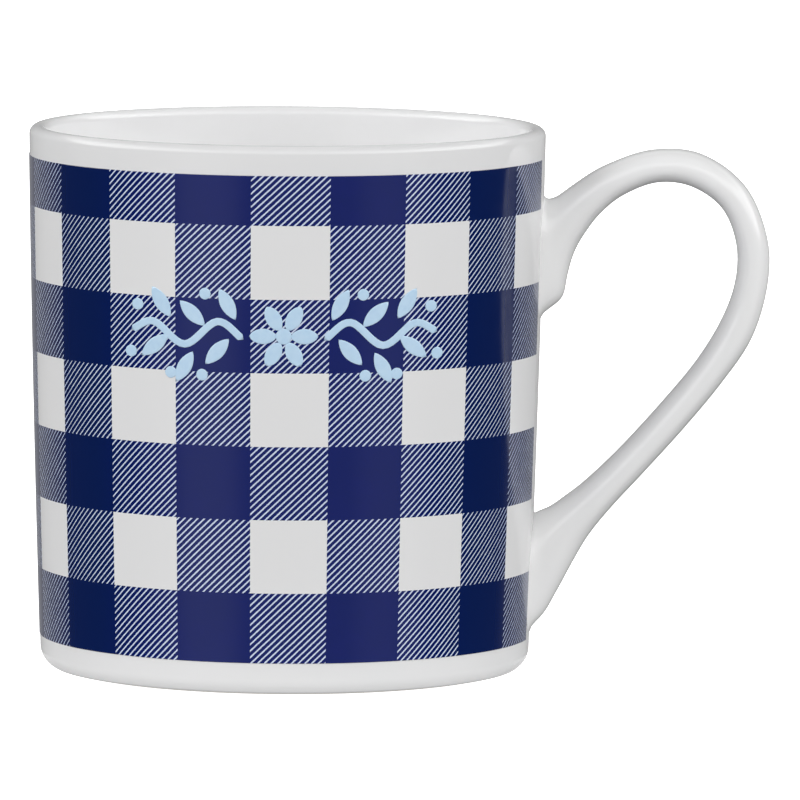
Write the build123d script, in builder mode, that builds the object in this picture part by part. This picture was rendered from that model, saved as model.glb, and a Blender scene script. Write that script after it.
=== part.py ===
from build123d import *
import os
from math import asin, degrees

os.makedirs("parts", exist_ok=True)

# A handled mug in glazed white clay. Millimetres, +Z up, origin on the cup's axis
# at the foot plane, handle towards +X.

# Finished cup, measured over the glaze
cup_height = 88.3  # foot plane to lip
rim_diameter = 84.0  # outside, at the lip
wall_taper = 4.5  # how much narrower the wall is at the foot plane, in diameter
wall_thickness = 3.6  # over both glaze coats
lip_thickness = 2.7  # the same, where the wall has thinned out at the lip
lip_thinning = 13.0  # how far below the lip the wall starts to thin, on the inside
thinning_rounding = 120.0  # the bend where it starts
floor_thickness = 5.0
lip_rounding = 0.49  # share of the lip's clay, so that the lip is all but half round
base_rounding = 3.4  # outer corner between wall and foot
inner_floor_rounding = 9.0  # where the inner wall runs into the floor

# Foot ring
foot_ring_width = 2.8  # from the outer rounding to the recess
foot_recess = 2.0  # height of the sunk underside above the foot plane
foot_edge_rounding = 0.7
bare_foot_height = 0.4  # the glaze is wiped away up to here

# Coats and prints
glaze_thickness = 0.2
transfer_thickness = 0.1
transfer_below_lip = 4.7  # top edge of the check transfer
transfer_above_foot = 5.4  # its bottom edge
transfer_clearance = 0.7  # bare glaze between the transfer and the handle's joint

# Handle, measured over the glaze
handle_reach = 34.4  # wall to the strap's centre line at its furthest
handle_top_drop = 6.0  # lip to the centre line at the top of the arch
tail_height = 7.5  # foot plane to the end of the centre line in the wall
strap_thickness = 5.3  # in the plane of the handle
strap_width = 10.2  # across the handle at the grip
root_width = 11.4  # across the handle where it meets the wall

# The strap's centre line from the tail, round the ear, to the upper root. Each
# station gives its distance from the wall as a share of the reach, its height as a
# share of the rise from tail to arch, and its thickness against the plain strap.
stations = [
    (-0.03, 0.0, 0.75),  # end of the tail, sunk in the wall
    (0.06, 0.11, 1.2),
    (0.145, 0.193, 1.28),
    (0.245, 0.252, 1.26),
    (0.36, 0.313, 1.13),
    (0.525, 0.393, 1.04),
    (0.685, 0.478, 1.02),
    (0.835, 0.57, 1.02),
    (0.96, 0.676, 1.02),
    (1.0, 0.783, 1.0),  # furthest out
    (0.965, 0.884, 1.0),
    (0.83, 0.97, 0.98),
    (0.6, 1.0, 1.0),  # top of the arch
    (0.395, 0.983, 1.04),
    (0.24, 0.941, 1.17),
    (0.133, 0.872, 1.08),
    (0.066, 0.809, 1.04),
    (0.024, 0.746, 1.05),
    (-0.034, 0.684, 0.87),  # upper root, sunk in the wall
]

# Slip wiped round the roots. Spans are shares of the same rise.
slip_spread = 0.9  # how far the slip runs out on the wall, past the root
slip_depth = 2.8  # how far it climbs from the wall along the strap
upper_slip_on_wall = (0.655, 0.925)
upper_slip_on_strap = (0.71, 0.938)
lower_slip_on_wall = (-0.032, 0.25)
lower_slip_on_strap = (0.045, 0.245)
slip_narrowing = 0.82  # width of the slip on the strap, against the root
slip_corner = 0.6  # corner rounding of the slip's outline, against its half width

# Printed sprig
sprig_height = 58.0  # foot plane to the middle of the flower
sprig_stroke = 1.2
flower_petals = 6
petal_length = 4.4
petal_width = 2.5
flower_ring = 3.3  # middle of the flower to the middle of a petal
flower_eye = 1.3
leaf_length = 5.6
leaf_width = 2.3
berry_radius = 0.95

# Worked-out sizes of the clay under the glaze
clay_rim_radius = rim_diameter / 2 - glaze_thickness
clay_base_radius = clay_rim_radius - wall_taper / 2
clay_top = cup_height - glaze_thickness
clay_wall = wall_thickness - 2 * glaze_thickness
clay_lip = lip_thickness - 2 * glaze_thickness
thinning_height = clay_top - lip_thinning
foot_inner_radius = clay_base_radius - base_rounding - foot_ring_width
floor_top = foot_recess + floor_thickness
beyond = rim_diameter  # a length that reaches past everything


def clay_radius(height):
    """Outer radius of the tapered wall at a height, without glaze."""
    return clay_base_radius + (clay_rim_radius - clay_base_radius) * height / clay_top


# Half sections of the cup, in the plane of the handle. The first is the clay itself.

with BuildSketch(Plane.XZ) as cup_section:
    with BuildLine():
        Polyline(
            (clay_base_radius, 0),
            (clay_rim_radius, clay_top),
            (clay_rim_radius - clay_lip, clay_top),
            (clay_radius(thinning_height) - clay_wall, thinning_height),
            (clay_radius(floor_top) - clay_wall, floor_top),
            (0, floor_top),
            (0, foot_recess),
            (foot_inner_radius, foot_recess),
            (foot_inner_radius, 0),
            close=True,
        )
    make_face()
    lip_corners = cup_section.vertices().group_by(Axis.Y)[-1]
    fillet(lip_corners, lip_rounding * clay_lip)
    base_corner = cup_section.vertices().group_by(Axis.Y)[0].sort_by(Axis.X)[-1]
    fillet(base_corner, base_rounding)
    ring_inner_corner = cup_section.vertices().group_by(Axis.Y)[0].sort_by(Axis.X)[0]
    fillet(ring_inner_corner, foot_edge_rounding)
    bend_point = (clay_radius(thinning_height) - clay_wall, thinning_height)
    fillet(cup_section.vertices().sort_by_distance(bend_point)[0], thinning_rounding)
    floor_point = (clay_radius(floor_top) - clay_wall, floor_top)
    fillet(cup_section.vertices().sort_by_distance(floor_point)[0], inner_floor_rounding)

# The same outline without the hollow: what the handle and its joints stop against
with BuildSketch(Plane.XZ) as block_section:
    with BuildLine():
        Polyline((clay_base_radius, 0), (clay_rim_radius, clay_top), (0, clay_top), (0, 0), close=True)
    make_face()

with BuildSketch(Plane.XZ) as glazed_block_section:
    add(block_section.sketch_local)
    offset(amount=glaze_thickness)
    with Locations((0, clay_top)):
        Rectangle(beyond, 3 * beyond, align=(Align.MIN, Align.CENTER), mode=Mode.INTERSECT)

# Glaze: the outline grown by one coat, less the clay and the bare foot
with BuildSketch(Plane.XZ) as glaze_section:
    add(cup_section.sketch_local)
    offset(amount=glaze_thickness)
    add(cup_section.sketch_local, mode=Mode.SUBTRACT)
    with Locations((0, foot_recess)):
        Rectangle(beyond, 3 * beyond, align=(Align.MIN, Align.CENTER), mode=Mode.INTERSECT)
    Rectangle(beyond, 2 * bare_foot_height, align=(Align.MIN, Align.CENTER), mode=Mode.SUBTRACT)

# A print lies on the glaze of the wall, between two heights
with BuildSketch(Plane.XZ) as transfer_section:
    add(glazed_block_section.sketch_local)
    offset(amount=transfer_thickness)
    add(glazed_block_section.sketch_local, mode=Mode.SUBTRACT)
    transfer_height = cup_height - transfer_below_lip - transfer_above_foot
    with Locations((0, transfer_above_foot)):
        Rectangle(beyond, transfer_height, align=Align.MIN, mode=Mode.INTERSECT)


# Cup

with BuildPart() as body:
    revolve(cup_section.sketch, axis=Axis.Z)
body.part.label = "body"
export_step(body.part, "parts/body.step")

with BuildPart() as clay_block:
    revolve(block_section.sketch, axis=Axis.Z)

with BuildPart() as glazed_block:
    revolve(glazed_block_section.sketch, axis=Axis.Z)


# Handle

rise = cup_height - handle_top_drop - tail_height


def station_point(out, up):
    """Point of the handle's plane at a share of the reach and a share of the rise."""
    height = tail_height + up * rise
    return Vector(clay_radius(height) + glaze_thickness + out * handle_reach, 0, height)


centre_line = Spline([station_point(out, up) for out, up, swell in stations])


def strap_solid(growth):
    """Loft through an oval at each station, square to the centre line, every half
    size grown by the same amount. The ovals widen towards both roots."""
    last = len(stations) - 1
    with BuildPart() as solid:
        for index, (out, up, swell) in enumerate(stations):
            point = station_point(out, up)
            along = centre_line.tangent_at(point)
            to_root = abs(2 * index / last - 1) ** 2
            half_width = (strap_width + (root_width - strap_width) * to_root) / 2
            with BuildSketch(Plane(origin=point, x_dir=along.cross(Vector(0, 1, 0)), z_dir=along)):
                Ellipse(swell * strap_thickness / 2 + growth, half_width + growth)
        loft()
    return solid.part


def slip_solid(wall_span, strap_span, growth):
    """Loft through upright rounded oblongs: two on the wall, one out on the strap.
    The spans are the heights of an oblong's ends, as shares of the rise."""
    middle = station_point(0, sum(wall_span) / 2).X
    spread = root_width / 2 + slip_spread
    placed = [
        (middle - slip_depth, wall_span, spread),
        (middle, wall_span, spread),
        (middle + slip_depth, strap_span, slip_narrowing * root_width / 2),
    ]
    with BuildPart() as solid:
        for distance, span, half_width in placed:
            centre = Vector(distance, 0, tail_height + rise * sum(span) / 2)
            with BuildSketch(Plane(origin=centre, x_dir=(0, 1, 0), z_dir=(1, 0, 0))):
                RectangleRounded(
                    2 * (half_width + growth),
                    rise * (span[1] - span[0]) + 2 * growth,
                    slip_corner * half_width,
                )
        loft(ruled=True)
    return solid.part


strap = strap_solid(-glaze_thickness)
upper_slip = slip_solid(upper_slip_on_wall, upper_slip_on_strap, -glaze_thickness)
lower_slip = slip_solid(lower_slip_on_wall, lower_slip_on_strap, -glaze_thickness)

with BuildPart() as handle:
    add(strap)
    add(clay_block.part, mode=Mode.SUBTRACT)
handle.part.label = "handle"
export_step(handle.part, "parts/handle.step")

with BuildPart() as upper_slip_joint:
    add(upper_slip)
    add(strap, mode=Mode.SUBTRACT)
    add(clay_block.part, mode=Mode.SUBTRACT)
upper_slip_joint.part.label = "upper_slip_joint"
export_step(upper_slip_joint.part, "parts/upper_slip_joint.step")

with BuildPart() as lower_slip_joint:
    add(lower_slip)
    add(strap, mode=Mode.SUBTRACT)
    add(clay_block.part, mode=Mode.SUBTRACT)
lower_slip_joint.part.label = "lower_slip_joint"
export_step(lower_slip_joint.part, "parts/lower_slip_joint.step")


# Glaze

with BuildPart() as body_glaze:
    revolve(glaze_section.sketch.faces().sort_by(Axis.X)[-1], axis=Axis.Z)
    add(strap, mode=Mode.SUBTRACT)
    add(upper_slip, mode=Mode.SUBTRACT)
    add(lower_slip, mode=Mode.SUBTRACT)
body_glaze.part.label = "body_glaze"
export_step(body_glaze.part, "parts/body_glaze.step")

with BuildPart() as underside_glaze:
    revolve(glaze_section.sketch.faces().sort_by(Axis.X)[0], axis=Axis.Z)
underside_glaze.part.label = "underside_glaze"
export_step(underside_glaze.part, "parts/underside_glaze.step")

glazed_strap = strap_solid(0)
glazed_upper_slip = slip_solid(upper_slip_on_wall, upper_slip_on_strap, 0)
glazed_lower_slip = slip_solid(lower_slip_on_wall, lower_slip_on_strap, 0)

with BuildPart() as handle_glaze:
    add(glazed_strap)
    add(glazed_upper_slip)
    add(glazed_lower_slip)
    add(strap, mode=Mode.SUBTRACT)
    add(upper_slip, mode=Mode.SUBTRACT)
    add(lower_slip, mode=Mode.SUBTRACT)
    add(glazed_block.part, mode=Mode.SUBTRACT)
handle_glaze.part.label = "handle_glaze"
export_step(handle_glaze.part, "parts/handle_glaze.step")


# Check transfer: one sheet wrapped round the wall, open at the handle

transfer_gap = root_width / 2 + slip_spread + transfer_clearance
gap_angle = degrees(asin(transfer_gap / clay_base_radius))
gap_edge = Vector(1, 0, 0).rotate(Axis.Z, gap_angle)

with BuildPart() as check_transfer:
    with BuildSketch(Plane(origin=(0, 0, 0), x_dir=gap_edge, z_dir=gap_edge.cross(Vector(0, 0, 1)))):
        add(transfer_section.sketch_local)
    revolve(axis=Axis.Z, revolution_arc=360 - 2 * gap_angle)
check_transfer.part.label = "check_transfer"
export_step(check_transfer.part, "parts/check_transfer.step")


# Sprig: a flower between two leafy stems, printed over the checks on the side that
# faces -Y. Each stem has a wave, leaves at (x, y, angle) and berries at (x, y), from
# the middle of the flower, x along the row's X and y up; the other stem is mirrored.

stem_points = [(6.4, -0.6), (10.6, 2.2), (15.8, -1.6), (20.8, 1.8), (24.4, 0.2)]
leaves = [
    (9.0, 5.0, 62),
    (10.6, -2.6, -48),
    (14.6, 3.4, 44),
    (15.8, -5.2, -62),
    (19.6, 5.0, 58),
    (20.6, -2.0, -40),
]
berries = [(12.6, 6.6), (13.0, -6.4), (18.0, -6.2), (23.4, 4.4), (24.4, -3.2)]

sprig_plane = Plane(origin=(0, -rim_diameter, sprig_height), x_dir=(1, 0, 0), z_dir=(0, -1, 0))

with BuildSketch(sprig_plane) as sprig_sketch:
    with BuildLine():
        Spline(*stem_points)
    trace(line_width=sprig_stroke)
    for x, y, angle in leaves:
        with Locations((x, y)):
            Ellipse(leaf_length / 2, leaf_width / 2, rotation=angle)
    with Locations(*berries):
        Circle(berry_radius)
    mirror(about=Plane.YZ)
    with PolarLocations(flower_ring, flower_petals):
        Ellipse(petal_length / 2, petal_width / 2)
    Circle(flower_eye)

# The sprig is cut from solid between the surface of the checks and a mould round it
with BuildSketch(Plane.XZ) as checked_block_section:
    add(glazed_block_section.sketch_local)
    offset(amount=transfer_thickness)
    Rectangle(beyond, 3 * beyond, align=(Align.MIN, Align.CENTER), mode=Mode.INTERSECT)

with BuildSketch(Plane.XZ) as mould_section:
    Rectangle(2 * beyond, cup_height, align=Align.MIN)
    add(checked_block_section.sketch_local, mode=Mode.SUBTRACT)
    offset(amount=-transfer_thickness)

with BuildPart() as checked_block:
    revolve(checked_block_section.sketch, axis=Axis.Z)

with BuildPart() as sprig_mould:
    revolve(mould_section.sketch, axis=Axis.Z)

with BuildPart() as sprig_transfer:
    extrude(sprig_sketch.sketch, amount=-rim_diameter)
    add(checked_block.part, mode=Mode.SUBTRACT)
    add(sprig_mould.part, mode=Mode.SUBTRACT)
sprig_transfer.part.label = "sprig_transfer"
export_step(sprig_transfer.part, "parts/sprig_transfer.step")
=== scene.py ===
import math
import bmesh
import bpy
import numpy as np
from mathutils import Matrix, Vector


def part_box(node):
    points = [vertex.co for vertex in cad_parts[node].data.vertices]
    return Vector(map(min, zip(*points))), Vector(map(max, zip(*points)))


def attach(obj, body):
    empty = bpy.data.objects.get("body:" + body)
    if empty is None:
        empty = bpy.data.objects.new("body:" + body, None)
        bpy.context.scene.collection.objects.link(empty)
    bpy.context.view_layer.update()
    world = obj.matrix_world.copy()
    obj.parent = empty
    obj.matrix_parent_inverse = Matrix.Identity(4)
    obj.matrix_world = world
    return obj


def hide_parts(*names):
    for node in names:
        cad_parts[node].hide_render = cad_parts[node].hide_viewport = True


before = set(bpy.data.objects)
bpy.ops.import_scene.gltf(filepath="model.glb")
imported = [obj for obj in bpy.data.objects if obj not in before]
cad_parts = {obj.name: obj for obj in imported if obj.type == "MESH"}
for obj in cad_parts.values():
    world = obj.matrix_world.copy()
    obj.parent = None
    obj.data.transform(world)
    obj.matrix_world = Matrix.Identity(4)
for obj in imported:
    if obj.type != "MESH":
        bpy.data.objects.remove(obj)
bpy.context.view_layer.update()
mm = 0.001  # the CAD frame is in metres, sizes below are in millimetres

# Lowest and highest corners of the CAD nodes that the surfaces below are worked out from
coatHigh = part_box("body_glaze")[1]
transferLow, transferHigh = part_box("check_transfer")
undersideLow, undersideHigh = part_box("underside_glaze")
lipHeight = coatHigh[2]
lipRadius = coatHigh[1]

cup = {
    "taper": 2.25 * mm,  # how much the wall draws in from lip to foot
    "swell": 0.2 * mm,  # how far it bellies out halfway up
    "wall": 3.6 * mm,  # over both coats of glaze
    "lip": 2.7 * mm,  # the same, at the lip
    "lipRounding": 0.49,  # share of the lip's clay, where 0.5 would be a half round
    "thinning": 13.0 * mm,  # how far below the lip the inside starts to slope outwards
    "thinningRounding": 120 * mm,
    "floor": 5.0 * mm,
    "floorRounding": 9.0 * mm,
    "footRounding": 3.4 * mm,
    "ringRounding": 0.7 * mm,  # inner edge of the foot ring
    "recess": undersideHigh[2],
    "recessRadius": undersideHigh[0],
    "recessRounding": 0.4 * mm,
    "glaze": 0.2 * mm,
    "bareLine": undersideLow[2],  # the glaze is wiped off below this height
    "arcPoints": 12,
    "runPoints": 22,  # on each straight stretch of the section
    "turns": 288,  # faces round the cup
}


# Glazed outer radius at a height: a straight taper plus a parabola that swells it halfway up
def wallRadius(height):
    share = height / lipHeight
    return lipRadius - cup["taper"] * (1 - share) + 4 * cup["swell"] * share * (1 - share)


mergeDistance = 0.0001 * mm
trifle = 1e-12  # keeps a length of nothing from being divided by


# Puts grids of points into one mesh piece. wrapRows and wrapColumns close a grid on itself. A row
# that is one point over and over becomes a pole when the doubles are merged, which closes that
# end. layMap, where there is one, turns the row and column of a face corner into its map place.
def gridPiece(name, grids, wrapRows, wrapColumns, material, layMap=None):
    points, faces, places, used = [], [], [], 0
    for grid in grids:
        rows, columns = grid.shape[:2]
        faceRows = np.arange(rows - (not wrapRows))
        faceColumns = np.arange(columns - (not wrapColumns))
        u, v = np.meshgrid(faceRows, faceColumns, indexing="ij")
        cornerRow = np.stack([u, u + 1, u + 1, u], -1).reshape(-1, 4)
        cornerColumn = np.stack([v, v, v + 1, v + 1], -1).reshape(-1, 4)
        points.append(grid.reshape(-1, 3))
        faces.append(cornerRow % rows * columns + cornerColumn % columns + used)
        if layMap:
            places.append(layMap(cornerRow, cornerColumn, rows, columns))
        used += rows * columns
    mesh = bpy.data.meshes.new(name)
    mesh.from_pydata(np.concatenate(points).tolist(), [], np.concatenate(faces).tolist())
    if layMap:
        bakeMap = mesh.uv_layers.new(name="OFBake")
        bakeMap.data.foreach_set("uv", np.concatenate(places).ravel())
    work = bmesh.new()
    work.from_mesh(mesh)
    bmesh.ops.remove_doubles(work, verts=work.verts, dist=mergeDistance)
    bmesh.ops.recalc_face_normals(work, faces=work.faces)
    work.to_mesh(mesh)
    work.free()
    mesh.polygons.foreach_set("use_smooth", np.ones(len(mesh.polygons), bool))
    mesh.materials.append(material)
    piece = bpy.data.objects.new(name, mesh)
    bpy.context.scene.collection.objects.link(piece)
    print("piece", name, len(mesh.polygons), "faces")
    return piece


# One node tree. Every node comes from add: its settings first, then values or links of its sockets.
class Graph:
    def __init__(self, owner):
        owner.use_nodes = True
        self.tree = owner.node_tree
        self.tree.nodes.clear()

    def add(self, kind, settings=None, sockets=None, output=0):
        node = self.tree.nodes.new("ShaderNode" + kind)
        for key, value in (settings or {}).items():
            setattr(node, key, value)
        for key, value in (sockets or {}).items():
            if isinstance(value, Wire):
                self.tree.links.new(value.socket, node.inputs[key])
            else:
                node.inputs[key].default_value = value
        return Wire(self, node.outputs[output]) if node.outputs else None

    def maths(self, operation, *terms):
        return self.add("Math", {"operation": operation}, dict(enumerate(terms)))

    # The three parts of a vector
    def split(self, vector):
        return [self.add("SeparateXYZ", None, {"Vector": vector}, output=axis) for axis in "XYZ"]

    # Colour between two colours, by a factor
    def mixColour(self, low, high, factor):
        return self.add("Mix", {"data_type": "RGBA"}, {0: factor, 6: low, 7: high}, output=2)

    # 0 below one value, 1 above the other, with an S curve between
    def ease(self, value, start, end):
        sockets = {"Value": value, "From Min": start, "From Max": end}
        return self.add("MapRange", {"interpolation_type": "SMOOTHSTEP"}, sockets)

    # Fractal noise on a vector, about 0 to 1
    def noise(self, vector, scale, detail=3.0):
        return self.add("TexNoise", None, {"Vector": vector, "Scale": scale, "Detail": detail})

    def bump(self, height, distance, strength):
        return self.add("Bump", None, {"Height": height, "Distance": distance, "Strength": strength})


# One output socket. The operators on it add Math nodes, also from the right, so 1 - mask works.
class Wire:
    def __init__(self, graph, socket):
        self.graph = graph
        self.socket = socket

    def __add__(self, other):
        return self.graph.maths("ADD", self, other)

    def __radd__(self, other):
        return self.graph.maths("ADD", other, self)

    def __sub__(self, other):
        return self.graph.maths("SUBTRACT", self, other)

    def __rsub__(self, other):
        return self.graph.maths("SUBTRACT", other, self)

    def __mul__(self, other):
        return self.graph.maths("MULTIPLY", self, other)

    def __rmul__(self, other):
        return self.graph.maths("MULTIPLY", other, self)

    def __truediv__(self, other):
        return self.graph.maths("DIVIDE", self, other)

    def __rtruediv__(self, other):
        return self.graph.maths("DIVIDE", other, self)

    def __pow__(self, other):
        return self.graph.maths("POWER", self, other)

    def __rpow__(self, other):
        return self.graph.maths("POWER", other, self)

    def above(self, other):
        return self.graph.maths("GREATER_THAN", self, other)

    def fraction(self):
        return self.graph.maths("FRACT", self)

    # 1 where the whole part is odd: half of it then ends in a half, otherwise in nothing
    def odd(self):
        whole = self.graph.maths("FLOOR", self)
        return (whole / 2).fraction().above(0.25)


# Starts a material and gives its graph and its Object coordinates
def startMaterial(name):
    material = bpy.data.materials.new(name)
    graph = Graph(material)
    place = graph.add("TexCoord", output="Object")
    return material, graph, place


# Ends a material: one Principled shader, with what varies linked and what doesn't set on it
def endMaterial(graph, sockets):
    shader = graph.add("BsdfPrincipled", None, sockets)
    graph.add("OutputMaterial", None, {"Surface": shader})


glaze = {
    "white": (0.852, 0.852, 0.857, 1),
    "pooled": (0.812, 0.82, 0.827, 1),  # where the coat runs thicker
    "litInside": (0.895, 0.895, 0.90, 1),  # painted light: the glaze made lighter inside the cup, for the light it gets there
    "litInsideDepth": (1.2 * mm, 2.6 * mm),  # how far in from the outside it takes over
    # Painted light: lighter copies of the white and pooled tones for the handle, for the brighter light
    # on it
    "handleLitWhite": (0.95, 0.95, 0.95, 1),
    "handleLitPooled": (0.92, 0.925, 0.93, 1),
    "patchScale": 70,  # thick and thin patches, per metre
    "patchEdges": (0.45, 0.8),
    "patchTone": 0.5,  # share of the pooled tone in the thickest of them
    "rippleScale": 420,
    "rippleDetail": 1.0,
    "rippleHeight": 0.004 * mm,
    "rippleStrength": 0.6,
    "roughness": (0.05, 0.09),  # least and most
    "refraction": 1.5,  # of every glassy finish here
}


# Clear gloss over white clay: slow patches in tone and gloss, a fine ripple in the surface, and a
# lighter tone painted inside the cup as painted light, where the depth below the wall's outer
# radius is more than the lip's rounding
def makeGlaze(name, white, pooled):
    material, graph, place = startMaterial(name)
    x, y, z = graph.split(place)
    patches = graph.noise(place, glaze["patchScale"])
    ripple = graph.noise(place, glaze["rippleScale"], glaze["rippleDetail"])
    thick = graph.ease(patches, *glaze["patchEdges"]) * glaze["patchTone"]
    depth = wallRadius(z) - (x * x + y * y) ** 0.5
    # Painted light: the inside of the cup takes a lighter tone than the outside
    inside = graph.ease(depth, *glaze["litInsideDepth"])
    outerColour = graph.mixColour(glaze[white], glaze[pooled], thick)
    least, most = glaze["roughness"]
    endMaterial(graph, {
        "Base Color": graph.mixColour(outerColour, glaze["litInside"], inside),
        "Roughness": patches * (most - least) + least,
        "Normal": graph.bump(ripple, glaze["rippleHeight"], glaze["rippleStrength"]),
        "IOR": glaze["refraction"],
    })
    return material


clay = {
    "pale": (0.78, 0.75, 0.69, 1),
    "grey": (0.55, 0.52, 0.47, 1),  # rubbed and stained where the ring touches the table
    "grainScale": 2600,
    "grainDetail": 4.0,
    "poreScale": 900,
    "poreDetail": 2.0,
    "poreEdges": (0.62, 0.72),
    "poreTone": 0.6,  # share of the grey in a pore
    "rubHeight": 0.25 * mm,
    "rubTone": 0.5,
    "roughness": 0.9,
    "rubPolish": 0.25,  # how much less rough the rubbed edge is
    "relief": 0.03 * mm,
    "reliefStrength": 0.7,
}


# Bare fired clay: fine grain, open pores and a rubbed, greyer edge at the foot plane
def makeClay():
    material, graph, place = startMaterial("firedClay")
    height = graph.split(place)[2]
    grain = graph.noise(place, clay["grainScale"], clay["grainDetail"])
    speckle = graph.noise(place, clay["poreScale"], clay["poreDetail"])
    pores = graph.ease(speckle, *clay["poreEdges"])
    rubbed = 1 - graph.ease(height, 0.0, clay["rubHeight"])
    dirt = pores * clay["poreTone"] + rubbed * grain * clay["rubTone"]
    endMaterial(graph, {
        "Base Color": graph.mixColour(clay["pale"], clay["grey"], dirt),
        "Roughness": clay["roughness"] - rubbed * clay["rubPolish"],
        "Normal": graph.bump(grain - pores, clay["relief"], clay["reliefStrength"]),
    })
    return material


checks = {
    "navy": (0.0006, 0.0105, 0.083, 1),
    "navyPaintedSheen": (0.0008, 0.0088, 0.133, 1),  # painted reflection: navy made lighter and bluer on the two broad sides, facing -Y and +Y
    "sheenFrom": (0.66, 0.92),  # how squarely the wall must face -Y or +Y for the painted reflection
    "hatchGround": (0.655, 0.73, 0.90, 1),  # the white between hatch lines, tinted by them
    "rowPitch": 11.794 * mm,
    "rowEdge": 75.65 * mm,  # lower edge of the topmost dark row
    "columnPitch": 17.347,  # degrees round the cup
    "columnEdge": -7.31,  # an edge of a dark column, degrees from -Y towards +X
    "hatchPerCheck": 11.25,  # lines to one check, across and up
    "hatchLight": 0.315,  # share of the hatch that is left white, on the two broad sides
    "hatchPaintedShade": 0.16,  # painted shade: how much less of it is left near the handle and opposite, where the wall turns away from -Y and +Y
    "paintedShadeEdges": (0.35, 0.95),  # how squarely the wall faces -Y or +Y where the painted shade goes and is gone
    "raggedScale": 5200,  # grain of the lines' edges, per metre
    "raggedDetail": 2.0,
    "raggedness": 0.16,  # share of a line and its gap
    "densityScale": 260,  # cloudiness of the ink, per metre
    "densityDetail": 4.0,
    "densityEdges": (0.35, 0.75),
    "densityTone": 0.15,
    "roughness": 0.07,
    "inkRoughness": 0.04,  # added by the ink
    "densityRoughness": 0.03,  # added where it is dense
    "inkHeight": 0.01 * mm,
    "inkStrength": 0.25,
}


# The fired print. Rows and columns of checks are counted from height and from the angle round the
# cup; a check is navy where a dark row crosses a dark column, hatched where only one of the two is
# dark, and white elsewhere. Hatch lines keep the sum of row and column, so they rise at 45 degrees.
# Their ink is painted broader, as painted shade, where the wall turns away from -Y and +Y, and the
# navy is painted lighter and bluer, as a painted reflection, where the wall faces -Y or +Y.
def makeCheckPrint():
    material, graph, place = startMaterial("checkPrint")
    x, y, z = graph.split(place)
    pitch = math.radians(checks["columnPitch"])
    start = math.radians(90 + checks["columnEdge"])  # -Y is at 90 degrees of the turn below
    turn = graph.maths("ARCTAN2", y * -1, x * -1)  # its jump from -180 to 180 is at the handle
    column = (turn - start) / pitch
    row = (checks["rowEdge"] - z) / checks["rowPitch"]
    darkColumn = column.odd()
    darkRow = row.odd()
    edgeGrain = graph.noise(place, checks["raggedScale"], checks["raggedDetail"]) - 0.5
    ragged = edgeGrain * checks["raggedness"]
    wave = ((column + row) * checks["hatchPerCheck"] + ragged).fraction()
    facing = graph.maths("ABSOLUTE", y / (x * x + y * y) ** 0.5)
    # Painted shade: the hatch is left darker where the wall turns away from -Y and +Y
    turnedAway = 1 - graph.ease(facing, *checks["paintedShadeEdges"])
    shadedWave = wave + turnedAway * checks["hatchPaintedShade"]
    hatch = shadedWave.above(checks["hatchLight"])
    both = darkRow * darkColumn
    one = darkRow + darkColumn - both * 2
    ink = both + one * hatch
    cloud = graph.noise(place, checks["densityScale"], checks["densityDetail"])
    density = graph.ease(cloud, *checks["densityEdges"])
    cloudy = 1 - (1 - density) * checks["densityTone"]
    # Painted reflection: the navy is lighter and bluer where the wall faces -Y or +Y
    paintedSheen = graph.ease(facing, *checks["sheenFrom"]) * cloudy
    navy = graph.mixColour(checks["navy"], checks["navyPaintedSheen"], paintedSheen)
    ground = graph.mixColour(glaze["white"], checks["hatchGround"], one)
    dullness = ink * checks["inkRoughness"] + density * checks["densityRoughness"]
    endMaterial(graph, {
        "Base Color": graph.mixColour(ground, navy, ink),
        "Roughness": dullness + checks["roughness"],
        "Normal": graph.bump(ink, checks["inkHeight"], checks["inkStrength"]),
        "IOR": glaze["refraction"],
    })
    return material


enamel = {
    "blue": (0.58, 0.78, 0.97, 1),
    "deep": (0.52, 0.73, 0.94, 1),  # where the brush left more of it
    "brushScale": 900,
    "brushEdges": (0.35, 0.7),
    "brushTone": 0.7,  # share of the deep tone there
    "roughness": 0.12,
    "brushRoughness": 0.08,
    "relief": 0.01 * mm,
    "reliefStrength": 0.3,
}


# Light blue enamel of the sprig: opaque, with brushed variation in depth
def makeSprigEnamel():
    material, graph, place = startMaterial("sprigInk")
    brush = graph.ease(graph.noise(place, enamel["brushScale"]), *enamel["brushEdges"])
    endMaterial(graph, {
        "Base Color": graph.mixColour(enamel["blue"], enamel["deep"], brush * enamel["brushTone"]),
        "Roughness": brush * enamel["brushRoughness"] + enamel["roughness"],
        "Normal": graph.bump(brush, enamel["relief"], enamel["reliefStrength"]),
        "IOR": glaze["refraction"],
    })
    return material


whiteGlaze = makeGlaze("whiteGlaze", "white", "pooled")
# The handle's glaze is a lighter copy of the cup's, painted light
handleLitWhite = makeGlaze("handleLitWhite", "handleLitWhite", "handleLitPooled")
firedClay = makeClay()
checkPrint = makeCheckPrint()
sprigEnamel = makeSprigEnamel()
print("materials made")


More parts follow.
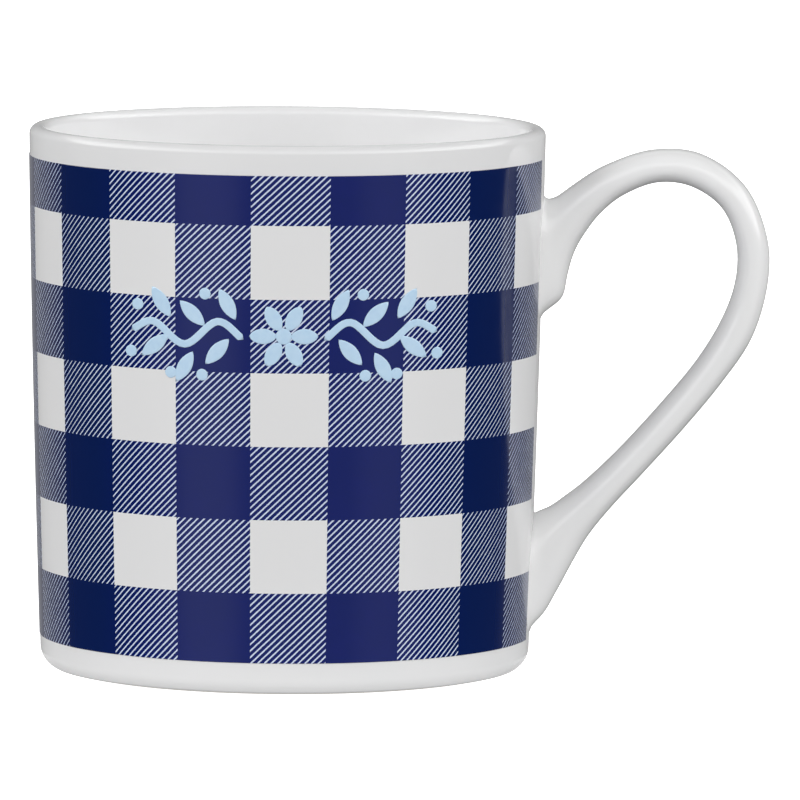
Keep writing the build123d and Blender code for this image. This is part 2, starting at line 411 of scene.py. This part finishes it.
# An open outline through corners, each rounded by an arc that touches both of its sides.
# Corners are (radius from the axis, height, rounding); straight runs get extra points.
def roundedOutline(corners, arcPoints, runPoints):
    points = [np.array(corners[0][:2])]
    for before, corner, after in zip(corners, corners[1:], corners[2:]):
        here = np.array(corner[:2])
        inward = np.array(before[:2]) - here
        outward = np.array(after[:2]) - here
        inward /= np.linalg.norm(inward)
        outward /= np.linalg.norm(outward)
        half = math.acos(np.clip(inward @ outward, -1, 1)) / 2
        bisector = (inward + outward) / np.linalg.norm(inward + outward)
        centre = here + bisector * corner[2] / math.sin(half)
        first = here + inward * corner[2] / math.tan(half) - centre
        last = here + outward * corner[2] / math.tan(half) - centre
        sweep = math.pi - 2 * half
        share = np.linspace(0, 1, arcPoints)[:, None]
        arc = (np.sin((1 - share) * sweep) * first + np.sin(share * sweep) * last) / math.sin(sweep)
        run = points[-1] + np.linspace(0, 1, runPoints)[1:-1, None] * (centre + first - points[-1])
        points = points + list(run) + list(centre + arc)
    end = np.array(corners[-1][:2])
    run = points[-1] + np.linspace(0, 1, runPoints)[1:, None] * (end - points[-1])
    return np.array(points + list(run))


# Half section of the clay from the middle of the inner floor, up, over the lip and down to the
# middle of the recess under the foot, with the wall's swell added in proportion to the radius
def clayOutline():
    skin = cup["glaze"]
    outerLip = lipRadius - skin
    outerFoot = lipRadius - cup["taper"] - skin
    wall = cup["wall"] - 2 * skin
    lip = cup["lip"] - 2 * skin
    top = lipHeight - skin
    bend = top - cup["thinning"]
    floorTop = cup["recess"] + cup["floor"]
    innerFoot = outerFoot + cup["taper"] * floorTop / top - wall
    innerBend = outerFoot + cup["taper"] * bend / top - wall
    lipRounding = cup["lipRounding"] * lip
    outline = roundedOutline([
        (0, floorTop, 0),
        (innerFoot, floorTop, cup["floorRounding"]),
        (innerBend, bend, cup["thinningRounding"]),
        (outerLip - lip, top, lipRounding),
        (outerLip, top, lipRounding),
        (outerFoot, 0, cup["footRounding"]),
        (cup["recessRadius"], 0, cup["ringRounding"]),
        (cup["recessRadius"], cup["recess"], cup["recessRounding"]),
        (0, cup["recess"], 0),
    ], cup["arcPoints"], cup["runPoints"])
    share = outline[:, 1] / lipHeight
    swell = 4 * cup["swell"] * share * (1 - share)
    outline[:, 0] *= 1 + swell / lipRadius
    return outline


# Moves an outline out of the clay, along its own left-hand normal, with both ends kept on the axis
def grow(outline, skin):
    along = np.gradient(outline, axis=0)
    along /= np.linalg.norm(along, axis=1)[:, None]
    grown = outline + skin * np.stack([-along[:, 1], along[:, 0]], 1)
    grown[[0, -1], 0] = 0
    return grown


# Turns an outline about the axis: radius times cosine and sine of the angle, height as it is
def turned(outline, angles):
    radius, height = outline[None, :, 0], outline[None, :, 1]
    x, y = radius * np.cos(angles)[:, None], radius * np.sin(angles)[:, None]
    return np.stack([x, y, np.broadcast_to(height, x.shape)], -1)


# A grid with its first and last row repeated at their middles, which the merge makes into poles
def capped(grid):
    ends = [np.broadcast_to(grid[end].mean(0), grid[end].shape)[None] for end in (0, -1)]
    return np.concatenate([ends[0], grid, ends[1]])


allRound = np.linspace(0, 2 * math.pi, cup["turns"], endpoint=False)
clayLine = clayOutline()
coatLine = grow(clayLine, cup["glaze"])
outside = np.arange(len(clayLine)) > np.argmax(clayLine[:, 1])
onFoot = np.flatnonzero(outside & (clayLine[:, 1] < cup["bareLine"]))
wipe = onFoot[0]  # first outline point below the bare line, coming down the outside
recessStart = onFoot[-1] + 1

body = gridPiece("cupClay", [turned(clayLine, allRound)], True, False, firedClay)
coatLoop = np.concatenate([coatLine[:wipe], clayLine[:wipe][::-1]])
bodyGlaze = gridPiece("cupGlaze", [turned(coatLoop, allRound)], True, False, whiteGlaze)
recessLoop = np.concatenate([coatLine[recessStart:][::-1], clayLine[recessStart:]])
recessGlaze = gridPiece("recessGlaze", [turned(recessLoop, allRound)], True, False, whiteGlaze)
print("cup done")


handle = {
    # The handle's side outline, from the upper root round the ear to the tail. Each pair is a point
    # of the inner edge and one of the outer edge, in millimetres from the cup's axis and above the
    # foot plane. The pairs lie close at the two roots and at the turns, and far apart between.
    "pairs": [
        ((39.6, 58.6), (38.3, 62.0)),
        ((42.8, 59.1), (38.4, 63.5)),
        ((44.9, 60.9), (38.6, 66.0)),
        ((45.7, 64.5), (38.9, 69.5)),
        ((46.6, 67.7), (39.6, 72.6)),
        ((48.2, 70.8), (41.8, 75.3)),
        ((50.9, 74.4), (46.4, 78.95)),
        ((54.6, 77.4), (51.7, 82.25)),
        ((60.0, 79.5), (59.4, 84.8)),
        ((65.6, 78.9), (67.4, 84.1)),
        ((70.6, 75.4), (74.5, 78.9)),
        ((73.0, 69.6), (78.07, 70.6)),
        ((72.9, 63.4), (78.16, 62.7)),
        ((70.7, 57.1), (75.7, 54.2)),
        ((66.6, 50.3), (70.9, 46.9)),
        ((60.8, 43.2), (64.9, 39.5)),
        ((54.3, 36.0), (58.4, 32.2)),
        ((48.7, 30.6), (53.2, 26.5)),
        ((44.6, 27.4), (49.6, 22.0)),
        ((41.0, 24.6), (47.1, 17.8)),
        ((38.5, 19.5), (44.4, 12.7)),
        ((37.2, 13.0), (41.9, 8.6)),
        ((36.9, 8.9), (38.6, 6.9)),
    ],
    "gripWidth": 10.2 * mm,
    "rootWidth": 10.8 * mm,
    "rootPower": 4,  # power of the share from the middle, which keeps the extra width at the roots
    "squareness": 2.3,  # 2 would be an oval section
    "flareSide": 1.7 * mm,  # how far the root spreads on the wall
    "flareDepth": 2.8 * mm,  # how far out from the wall the spread begins
    "flareUp": 1.9,  # how much more of it there is upwards
    "pointsPerPair": 10,
    "pointsRound": 64,
}


# A smooth curve through points, each stretch a cubic whose slopes at its ends are half the step
# between the neighbours, which is Catmull and Rom's rule
def smoothCurve(points, perStretch):
    padded = np.concatenate([[2 * points[0] - points[1]], points, [2 * points[-1] - points[-2]]])
    before, start, end, after = padded[:-3], padded[1:-2], padded[2:-1], padded[3:]
    t = np.linspace(0, 1, perStretch, endpoint=False)[None, :, None]
    start, end = start[:, None], end[:, None]
    startSlope, endSlope = (end - before[:, None]) / 2, (after[:, None] - start) / 2
    hermite = (
        (2 * t**3 - 3 * t**2 + 1) * start
        + (t**3 - 2 * t**2 + t) * startSlope
        + (3 * t**2 - 2 * t**3) * end
        + (t**3 - t**2) * endSlope
    )
    return np.concatenate([hermite.reshape(-1, points.shape[1]), points[-1:]])


# The strap as a grid, along by round. Each section is a rounded oblong, cosine and sine raised to
# the power of 2 over the squareness, between the inner and the outer edge and across the handle.
def strapGrid(growth):
    edges = smoothCurve(np.array(handle["pairs"]).reshape(-1, 4) * mm, handle["pointsPerPair"])
    inner, outer = edges[:, :2], edges[:, 2:]
    middle, reach = (inner + outer) / 2, (outer - inner) / 2
    half = np.linalg.norm(reach, axis=1)[:, None]
    rootShare = np.linspace(-1, 1, len(edges))[:, None] ** handle["rootPower"]
    widening = (handle["rootWidth"] - handle["gripWidth"]) * rootShare
    width = (handle["gripWidth"] + widening) / 2 + growth
    angle = np.linspace(0, 2 * math.pi, handle["pointsRound"], endpoint=False)[None]
    power = 2 / handle["squareness"]
    across = np.sign(np.cos(angle)) * np.abs(np.cos(angle)) ** power * (half + growth)
    aside = np.sign(np.sin(angle)) * np.abs(np.sin(angle)) ** power * width
    inPlane = middle[:, None] + across[..., None] * (reach / half)[:, None]
    return np.stack([inPlane[..., 0], aside, inPlane[..., 1]], -1)


# Vectors of a grid, each divided by its own length
def unit(vectors):
    return vectors / (np.linalg.norm(vectors, axis=2)[..., None] + trifle)


# The strap with its roots flared on the wall. Near the wall every point is pushed along it, the way
# the surface faces there, by a quarter of an oval: 1 less the root of 1 less the square of how
# near the wall it is. A push upwards is stretched further.
def flared(grid):
    normal = unit(np.cross(np.gradient(grid, axis=0), np.gradient(grid, axis=1)))
    outwards = grid - grid.mean(1)[:, None]
    normal *= np.sign((normal * outwards).sum(2))[..., None]
    radial = np.stack([grid[..., 0], grid[..., 1], 0 * grid[..., 2]], -1)
    distance = np.linalg.norm(radial, axis=2)
    away = radial / distance[..., None]
    gap = np.clip((distance - wallRadius(grid[..., 2])) / handle["flareDepth"], 0, 1)
    push = handle["flareSide"] * (1 - np.sqrt(1 - (1 - gap) ** 2))
    sideways = normal - (normal * away).sum(2)[..., None] * away
    sideways[..., 2] *= np.where(sideways[..., 2] > 0, handle["flareUp"], 1)
    return grid + push[..., None] * sideways


glazedStrap = capped(flared(strapGrid(0)))
clayStrap = capped(strapGrid(-cup["glaze"]))
handleGlaze = gridPiece("handleGlaze", [glazedStrap], False, True, handleLitWhite)
handleClay = gridPiece("handleClay", [clayStrap], False, True, firedClay)
print("handle done")


transfer = {
    "thickness": 0.1 * mm,
    "sunk": 0.05 * mm,  # how far its back lies under the face of the glaze
    "gap": 7.3 * mm,  # from the handle's plane to the edge of the print
    "crispEdge": 0.1 * mm,
    "turns": 340,
    "rows": 48,
    "mapMargin": 0.005,
    "mapFront": 0.46,  # share of the map's height that the printed face takes, in each half
    "mapBack": 0.03,  # and that the edges and the back take
}


# Even steps from one end to the other, with one more close to each end to keep its edge crisp
def crispRun(start, end, steps, inset):
    return np.concatenate([[start], np.linspace(start + inset, end - inset, steps), [end]])


# The check transfer: the wall's own curve moved out by the print's thickness, carried round the cup
# from one side of the handle to the other, and closed by the same curve a little under the glaze
def sleeveGrid():
    inset = transfer["crispEdge"]
    gapAngle = math.asin(transfer["gap"] / (lipRadius - cup["taper"]))
    farAngle = 2 * math.pi - gapAngle
    angles = crispRun(gapAngle, farAngle, transfer["turns"], inset / lipRadius)
    heights = crispRun(transferLow[2], transferHigh[2], transfer["rows"], inset)
    front = np.stack([wallRadius(heights) + transfer["thickness"], heights], 1)
    back = np.stack([wallRadius(heights) - transfer["sunk"], heights], 1)
    return capped(turned(np.concatenate([front, back[::-1]]), angles))


# Map of the sleeve: each half of the wrap takes one half of the square, the print over most of its
# height and the edges and back over the rest
def sleeveMap(row, column, rows, columns):
    half = (rows + 1) // 2
    second = row.min(1, keepdims=True) >= half
    across = (row - half * second) / half
    front = columns // 2 - 1
    onFront = transfer["mapFront"] * column / front
    onBack = transfer["mapFront"] + transfer["mapBack"] * (column - front) / (columns - front)
    up = np.where(column <= front, onFront, onBack)
    margin = transfer["mapMargin"]
    return np.stack([margin + (1 - 2 * margin) * across, margin + up + 0.5 * second], -1)


checkSleeve = gridPiece("checkTransfer", [sleeveGrid()], False, True, checkPrint, sleeveMap)
print("transfer done")


sprig = {
    "height": 58.0 * mm,  # of the flower's middle above the foot plane
    "thickness": 0.1 * mm,
    "flatness": 0.3,  # 1 would be a round section, 0 a flat top with square edges
    "endRise": 3,  # a stroke is at full thickness where it is wider than 1 over this of its most
    "pointsRound": 20,
    # millimetres from the flower's middle on one side, which the other side mirrors
    "stem": [(6.4, -0.6), (10.6, 2.2), (15.8, -1.6), (20.8, 1.8), (24.4, 0.2)],
    "stemWidth": 1.2 * mm,
    "stemPoints": 8,
    "stemTaper": 8,  # the higher, the blunter its ends
    "leaves": [  # with the degrees by which each one turns
        (9.0, 5.0, 62),
        (10.6, -2.6, -48),
        (14.6, 3.4, 44),
        (15.8, -5.2, -62),
        (19.6, 5.0, 58),
        (20.6, -2.0, -40),
    ],
    "leafSize": (5.6 * mm, 2.3 * mm),
    "leafFullness": 0.8,  # 1 would be a sine arch, lower is fuller and rounder
    "berries": [(12.6, 6.6), (13.0, -6.4), (18.0, -6.2), (23.4, 4.4), (24.4, -3.2)],
    "berrySize": (1.9 * mm, 1.9 * mm),
    "petals": 6,
    "petalRing": 3.3 * mm,
    "petalSize": (4.4 * mm, 2.5 * mm),
    "petalFullness": 0.6,
    "eyeSize": (2.6 * mm, 2.6 * mm),
    "roundFullness": 0.5,  # of the berries and the eye
    "bladePoints": 15,
}
pointedEnd = 1e-6 * mm  # breadth of a stroke at its tip, thin enough to merge


# A painted stroke: a low domed section carried along a flat path and laid on the wall. The widths
# are the stroke's breadth at each point of the path, and its height there is thickness by dome.
def strokeGrid(path, widths):
    along = np.gradient(path, axis=0)
    along /= np.linalg.norm(along, axis=1)[:, None] + trifle
    normal = np.stack([-along[:, 1], along[:, 0]], 1)
    angle = (np.arange(sprig["pointsRound"]) + 0.5) * 2 * math.pi / sprig["pointsRound"]
    flat = path[:, None] + np.cos(angle)[:, None] * normal[:, None] * widths[:, None, None] / 2
    dome = np.sign(np.sin(angle)) * np.abs(np.sin(angle)) ** sprig["flatness"]
    rise = np.minimum(widths / widths.max() * sprig["endRise"], 1)
    lift = dome * sprig["thickness"] * rise[:, None]
    x, z = flat[..., 0], flat[..., 1] + sprig["height"]
    radius = wallRadius(z) + transfer["thickness"] + lift
    return np.stack([x, -np.sqrt(radius**2 - x**2), z], -1)


# A blade, such as a leaf, petal or berry: a straight path with breadth that follows a sine arch
# raised to the power of its fullness
def bladeGrid(centre, angle, size, fullness):
    length, breadth = size
    share = np.linspace(0, 1, sprig["bladePoints"])
    path = (share[:, None] - 0.5) * length * np.array([math.cos(angle), math.sin(angle)])
    widths = breadth * np.sin(math.pi * share) ** fullness + pointedEnd
    return strokeGrid(np.array(centre) + path, widths)


# A stem: the smooth curve through its points, with breadth that narrows to nothing at both ends as
# the root of share by 1 less share, times the taper and never more than 1
def stemGrid(side):
    stem = smoothCurve(np.array(sprig["stem"]) * mm * (side, 1), sprig["stemPoints"])
    share = np.linspace(0, 1, len(stem))
    narrowing = np.minimum(1, sprig["stemTaper"] * np.sqrt(share * (1 - share)))
    return strokeGrid(stem, sprig["stemWidth"] * narrowing + pointedEnd)


# The whole sprig: stem, leaves and berries on both sides, then the petals round the eye
def sprigGrids():
    grids = []
    for side in (1, -1):
        grids.append(stemGrid(side))
        for x, y, degrees in sprig["leaves"]:
            turn = math.radians(degrees if side > 0 else 180 - degrees)
            centre = (side * x * mm, y * mm)
            grids.append(bladeGrid(centre, turn, sprig["leafSize"], sprig["leafFullness"]))
        for x, y in sprig["berries"]:
            centre = (side * x * mm, y * mm)
            grids.append(bladeGrid(centre, 0, sprig["berrySize"], sprig["roundFullness"]))
    for turn in np.arange(sprig["petals"]) * 2 * math.pi / sprig["petals"]:
        centre = sprig["petalRing"] * np.array([math.cos(turn), math.sin(turn)])
        grids.append(bladeGrid(centre, turn, sprig["petalSize"], sprig["petalFullness"]))
    grids.append(bladeGrid((0, 0), 0, sprig["eyeSize"], sprig["roundFullness"]))
    return grids


sprigPrint = gridPiece("sprigTransfer", sprigGrids(), False, True, sprigEnamel)
print("sprig done")

for piece, nodes, slot in [
    (body, ["body"], "bisque"),
    (bodyGlaze, ["body_glaze"], "white_glaze"),
    (recessGlaze, ["underside_glaze"], "white_glaze"),
    (handleGlaze, ["handle_glaze"], "white_glaze"),
    (handleClay, ["handle", "upper_slip_joint", "lower_slip_joint"], "bisque"),
    (checkSleeve, ["check_transfer"], "check_print"),
    (sprigPrint, ["sprig_transfer"], "sprig_print"),
]:
    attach(piece, "root")
    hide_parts(*nodes)


# Pairs of shares are where a change starts and ends: of +Y in the level direction where the name
# ends in Turn, and sines of the angle above or below the horizon where it ends in Edges or End
studio = {
    "panels": [  # degrees to the camera's right, half width and softness in degrees, brightness
        (-36, 10, 10, 0.28),
        (50, 12, 10, 0.16),
        (0, 60, 14, 0.24),
    ],
    "dusk": 0.05,  # the rest of the horizon
    "backdrop": 0.30,  # added to it behind the cup
    "backdropTurn": (0.47, 0.72),
    "ring": 1.56,  # brightness of the ring of light above the horizon
    "ringSides": 1.45,  # how much brighter it is to the left and right
    "ringEdges": (0.10, 0.20, 0.50, 0.80),  # where it fades in, and where it fades out
    "ringRise": 0.33,  # how much higher it starts behind the cup
    "ringRiseTurn": (0.1, 0.8),
    "ringDim": 0.48,  # how much weaker it is behind the cup
    "ringDimTurn": (0.15, 1.0),
    "zenith": 0.03,
    "under": 0.08,  # light from below, all round
    "underEdges": (0.15, 0.40),
    "underFront": 0.49,  # what comes back off the table in front
    "underTurn": (-0.2, 0.8),  # of -Y here
    "underEnd": (0.75, 0.95),
    "straightUp": 1e-6,  # keeps the level part above nothing straight up and down
    "plateRadius": 46 * mm,  # a lit plate under the foot
    "plateDrop": 1 * mm,
    "platePower": 0.008,
}


# Soft light by direction. Above the horizon stands a ring, brighter to the left and right and higher
# and weaker behind the cup, under a dim top. Below is dim light with a brighter part in front, as
# off a table. The dusky horizon between has two soft panels, a fill in front and a backdrop.
def lightStudio():
    world = bpy.data.worlds.new("studio")
    bpy.context.scene.world = world
    graph = Graph(world)
    x, y, z = graph.split(graph.add("TexCoord", output="Generated"))
    level = (x * x + y * y + studio["straightUp"]) ** 0.5  # length of the direction's level part
    band = studio["dusk"]
    for azimuth, halfWidth, softness, brightness in studio["panels"]:
        turn = math.radians(azimuth)
        facing = (x * math.sin(turn) - y * math.cos(turn)) / level
        edges = [math.cos(math.radians(halfWidth + side * softness)) for side in (1, -1)]
        band = graph.ease(facing, *edges) * brightness + band
    behind = y / level
    band = graph.ease(behind, *studio["backdropTurn"]) * studio["backdrop"] + band
    fadeIn, full, fadeOut, gone = studio["ringEdges"]
    rise = graph.ease(behind, *studio["ringRiseTurn"]) * studio["ringRise"]
    above = graph.ease(z - rise, fadeIn, full)
    top = graph.ease(z, fadeOut, gone)
    below = graph.ease(z * -1, *studio["underEdges"])
    weaker = 1 - graph.ease(behind, *studio["ringDimTurn"]) * studio["ringDim"]
    ring = ((x / level) ** 2 * studio["ringSides"] + studio["ring"]) * weaker
    lowest = graph.ease(z * -1, *studio["underEnd"])
    table = graph.ease(behind * -1, *studio["underTurn"]) * (1 - lowest)
    under = table * studio["underFront"] + studio["under"]
    horizon = band * (1 - above - below)
    strength = horizon + (above - top) * ring + top * studio["zenith"] + below * under
    background = graph.add("Background", None, {"Color": (1, 1, 1, 1), "Strength": strength})
    graph.add("OutputWorld", None, {"Surface": background})
    plate = bpy.data.lights.new("plate", "AREA")
    plate.shape = "DISK"
    plate.size = 2 * studio["plateRadius"]
    plate.energy = studio["platePower"]
    lamp = bpy.data.objects.new("plate", plate)
    facingUp = Matrix.Rotation(math.pi, 4, "X")
    lamp.matrix_world = Matrix.Translation((0, 0, -studio["plateDrop"])) @ facingUp
    bpy.context.scene.collection.objects.link(lamp)


paleFloor = {
    "half": 6.0,  # metres from the middle to a side
    "drop": 0.05 * mm,  # below the foot, so that the two never share a plane
    "pale": (0.9, 0.9, 0.9, 1),
    "paler": (0.92, 0.92, 0.92, 1),
    "patchScale": 3,
    "roughness": 0.9,
    "glow": 1.0,
}


# A plain white floor that only the camera sees, so the light from below stays even
def layFloor():
    half, level = paleFloor["half"], -paleFloor["drop"]
    mesh = bpy.data.meshes.new("floor")
    corners = [(x * half, y * half, level) for x, y in ((-1, -1), (1, -1), (1, 1), (-1, 1))]
    mesh.from_pydata(corners, [], [(0, 1, 2, 3)])
    material, graph, place = startMaterial("paleFloor")
    patches = graph.noise(place, paleFloor["patchScale"])
    endMaterial(graph, {
        "Base Color": graph.mixColour(paleFloor["pale"], paleFloor["paler"], patches),
        "Roughness": paleFloor["roughness"],
        "Emission Color": (1, 1, 1, 1),
        "Emission Strength": paleFloor["glow"],
    })
    mesh.materials.append(material)
    floor = bpy.data.objects.new("floor", mesh)
    bpy.context.scene.collection.objects.link(floor)
    floor.visible_glossy = False
    floor.visible_diffuse = False
    floor.visible_shadow = False


view = {
    "target": (18.55 * mm, 0, 43.62 * mm),
    "distance": 1780.6 * mm,
    "elevation": 6.036,  # degrees above the floor, looking along +Y
    "roll": 0.415,
    "lens": 492.1,
    "sensorWidth": 36,
    "nearest": 0.05,  # metres
    "farthest": 30,
}


def placeCamera():
    data = bpy.data.cameras.new("camera")
    data.lens = view["lens"]
    data.sensor_width = view["sensorWidth"]
    data.clip_start = view["nearest"]
    data.clip_end = view["farthest"]
    camera = bpy.data.objects.new("camera", data)
    bpy.context.scene.collection.objects.link(camera)
    tilt = math.radians(view["elevation"])
    away = Vector((0, -math.cos(tilt), math.sin(tilt)))
    place = Matrix.Translation(Vector(view["target"]) + away * view["distance"])
    turn = away.to_track_quat("Z", "Y").to_matrix().to_4x4()
    camera.matrix_world = place @ turn @ Matrix.Rotation(math.radians(view["roll"]), 4, "Z")
    bpy.context.scene.camera = camera


lightStudio()
layFloor()
placeCamera()
bpy.context.scene.view_settings.view_transform = "Standard"
print("studio done")
